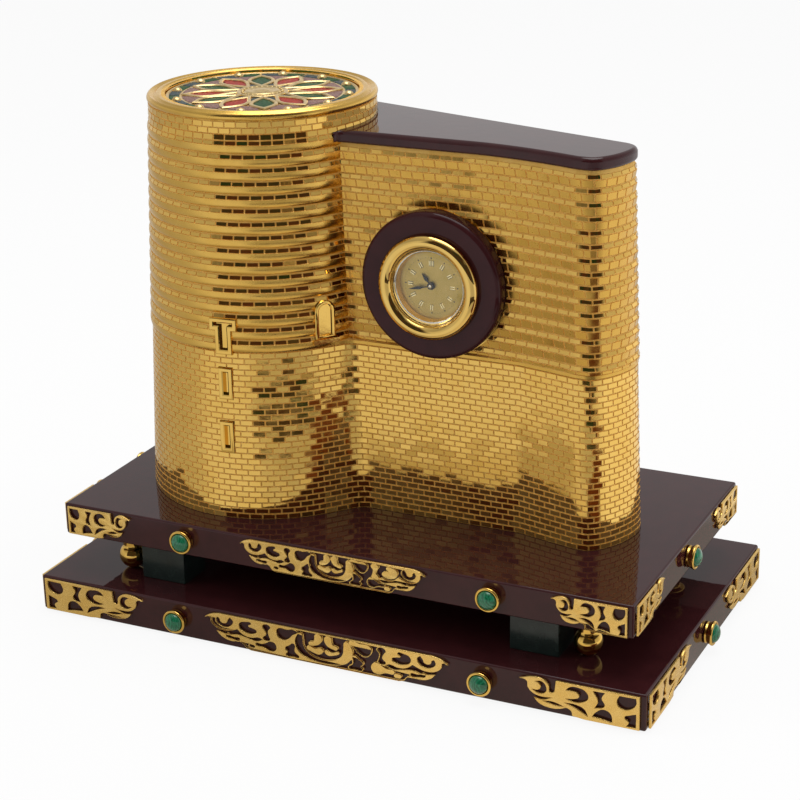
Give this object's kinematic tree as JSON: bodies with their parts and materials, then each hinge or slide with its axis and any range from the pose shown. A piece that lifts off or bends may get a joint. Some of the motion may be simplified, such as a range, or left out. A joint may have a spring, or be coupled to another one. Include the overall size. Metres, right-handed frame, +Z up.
{
  "type": "table clock",
  "caption": "Table clock: a ribbed round gilt tower with a spur wall on a two-step lacquered base, with a pull-out insert clock in a timber ring.",
  "frame": {"origin": "on the ground under the middle of the lower slab", "axes": "+Z up, -Y towards the front with the dial, +X to the viewer's right"},
  "size_m": [0.3292, 0.1796, 0.2531],
  "materials": {
    "gold": "bright gold plate, polished",
    "lacquer": "burgundy brown piano lacquer, high gloss",
    "felt": "pressed felt",
    "riser_black": "black gloss paint",
    "malachite": "polished green cabochon",
    "enamel": "red, green and blue-grey enamel in gold cells",
    "crystal": "clear domed glass",
    "dial_gold": "satin champagne gold",
    "movement_brass": "plain brass",
    "steel": "nickel-plated steel",
    "rubber": "moulded black rubber",
    "black_plastic": "moulded black plastic",
    "black_hands": "black lacquered hands"
  },
  "bodies": {
    "base": {"base_felt": "felt", "lower_slab": "lacquer", "upper_slab": "lacquer", "wall_cap": "lacquer", "clock_ring": "lacquer", "tower_casting": "gold", "medallion_plate": "enamel", "medallion_rosette": "gold", "ball_foot_front_left": "gold", "riser_front_left": "riser_black", "ball_foot_front_right": "gold", "riser_front_right": "riser_black", "ball_foot_back_left": "gold", "riser_back_left": "riser_black", "ball_foot_back_right": "gold", "riser_back_right": "riser_black", "collet_lower_front_left": "gold", "cabochon_lower_front_left": "malachite", "collet_lower_front_right": "gold", "cabochon_lower_front_right": "malachite", "collet_upper_front_left": "gold", "cabochon_upper_front_left": "malachite", "collet_upper_front_right": "gold", "cabochon_upper_front_right": "malachite", "collet_lower_left": "gold", "cabochon_lower_left": "malachite", "collet_lower_right": "gold", "cabochon_lower_right": "malachite", "collet_upper_left": "gold", "cabochon_upper_left": "malachite", "collet_upper_right": "gold", "cabochon_upper_right": "malachite", "scroll_lower_front_left": "gold", "scroll_lower_front_centre": "gold", "scroll_lower_front_right": "gold", "scroll_upper_front_left": "gold", "scroll_upper_front_centre": "gold", "scroll_upper_front_right": "gold", "scroll_lower_left_front": "gold", "scroll_lower_left_back": "gold", "scroll_lower_right_front": "gold", "scroll_lower_right_back": "gold", "scroll_upper_left_front": "gold", "scroll_upper_left_back": "gold", "scroll_upper_right_front": "gold", "scroll_upper_right_back": "gold"},
    "insert": {"bezel": "gold", "crystal": "crystal", "dial": "dial_gold", "insert_case": "movement_brass", "grip_band": "rubber", "back_cap": "black_plastic", "main_plate": "black_plastic", "battery": "steel"},
    "minute_works": {"cannon_pinion": "movement_brass", "minute_hand": "black_hands"},
    "hour_works": {"hour_wheel": "movement_brass", "hour_hand": "black_hands"},
    "motion_wheel": {"motion_wheel": "movement_brass"},
    "setting_knob": {"setting_knob": "black_plastic"}
  },
  "joints": [
    {"name": "insert_pull", "type": "slide", "parent": "base", "child": "insert", "axis": [0, -1, 0], "range_m": [0, 0.03]},
    {"name": "minute_turn", "type": "hinge", "parent": "insert", "child": "minute_works", "pos_m": [0.0298, -0.0285, 0.1736], "axis": [0, 1, 0], "continuous": true},
    {"name": "hour_turn", "type": "hinge", "parent": "insert", "child": "hour_works", "pos_m": [0.0298, -0.0285, 0.1736], "axis": [0, 1, 0], "continuous": true},
    {"name": "motion_turn", "type": "hinge", "parent": "insert", "child": "motion_wheel", "pos_m": [0.0298, -0.0285, 0.164], "axis": [0, 1, 0], "continuous": true},
    {"name": "knob_turn", "type": "hinge", "parent": "insert", "child": "setting_knob", "pos_m": [0.0394, -0.0285, 0.164], "axis": [0, 1, 0], "continuous": true}
  ],
  "couplings": [
    {"joint": "hour_turn", "follows": "minute_turn", "ratio": 0.083333},
    {"joint": "motion_turn", "follows": "minute_turn", "ratio": -0.33333},
    {"joint": "knob_turn", "follows": "minute_turn", "ratio": 1}
  ]
}
